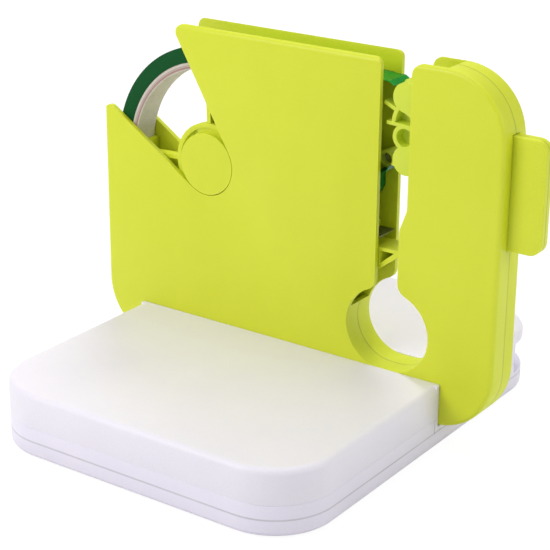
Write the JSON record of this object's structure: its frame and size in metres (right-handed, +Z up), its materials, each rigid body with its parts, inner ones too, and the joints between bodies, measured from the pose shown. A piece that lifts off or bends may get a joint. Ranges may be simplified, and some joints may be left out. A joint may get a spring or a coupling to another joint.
{
  "type": "bag neck sealer",
  "caption": "Counter-top bag neck sealer: upright two-shell casing in a flat base, roll of tape on a hub, slot with lobed wheel, gate, knife and push tab.",
  "frame": {"origin": "on the ground, under the middle of the base", "axes": "+X to the right seen from the front, +Y to the back, +Z up"},
  "size_m": [0.199, 0.185, 0.1495],
  "materials": {
    "casing_plastic": "satin",
    "base_plastic": "satin",
    "tray_plastic": "satin",
    "hub_plastic": "satin",
    "wheel_plastic": "satin",
    "screw_steel": "zinc plated",
    "pin_steel": "ground",
    "spring_steel": "drawn wire",
    "knife_steel": "stamped",
    "weight_steel": "plain",
    "foot_rubber": "matt",
    "pad_rubber": "matt",
    "core_board": "matt",
    "tape_green": "gloss",
    "tape_single": "gloss",
    "washer_plastic": "smooth"
  },
  "bodies": {
    "housing": {"front_shell": "casing_plastic", "rear_shell": "casing_plastic", "shell_screws": "screw_steel", "casing_screws": "screw_steel", "base_top": "base_plastic", "base_tray": "tray_plastic", "base_screws": "screw_steel", "ballast_plate": "weight_steel", "rubber_feet": "foot_rubber", "tape_web": "tape_single", "tape_tail": "tape_green", "wheel_axle": "pin_steel", "wheel_washers": "washer_plastic", "roller_post": "pin_steel", "press_spring": "spring_steel", "gate_pin": "pin_steel", "gate_spring": "spring_steel", "knife": "knife_steel", "knife_clamp": "casing_plastic", "knife_screws": "screw_steel"},
    "spool": {"tape_hub": "hub_plastic", "hub_cap": "hub_plastic", "tape_core": "core_board", "tape_roll": "tape_green"},
    "wheel": {"star_wheel": "wheel_plastic", "tape_lead": "tape_single"},
    "roller": {"pinch_roller": "wheel_plastic"},
    "press": {"press_slide": "casing_plastic", "press_pad": "pad_rubber"},
    "gate": {"gate_lever": "wheel_plastic"}
  },
  "joints": [
    {"name": "spool_spin", "type": "hinge", "parent": "housing", "child": "spool", "pos_m": [-0.0386, 0.0138, 0.0943], "axis": [0, 1, 0], "continuous": true},
    {"name": "wheel_spin", "type": "hinge", "parent": "housing", "child": "wheel", "pos_m": [0.0611, 0.0138, 0.1239], "axis": [0, 1, 0], "continuous": true},
    {"name": "roller_spin", "type": "hinge", "parent": "housing", "child": "roller", "pos_m": [0.0408, 0.0138, 0.1093], "axis": [0, 1, 0], "continuous": true},
    {"name": "press_stroke", "type": "slide", "parent": "housing", "child": "press", "axis": [-1, 0, 0], "range_m": [0, 0.008], "stiffness_N_per_m": 300, "springref_m": -0.003, "deforming": ["press_spring"]},
    {"name": "gate_swing", "type": "hinge", "parent": "housing", "child": "gate", "pos_m": [0.02, 0.0138, 0.077], "axis": [0, 1, 0], "range_deg": [0, 40], "stiffness_Nm_per_rad": 0.006, "springref_deg": -20.05, "deforming": ["gate_spring"]}
  ]
}
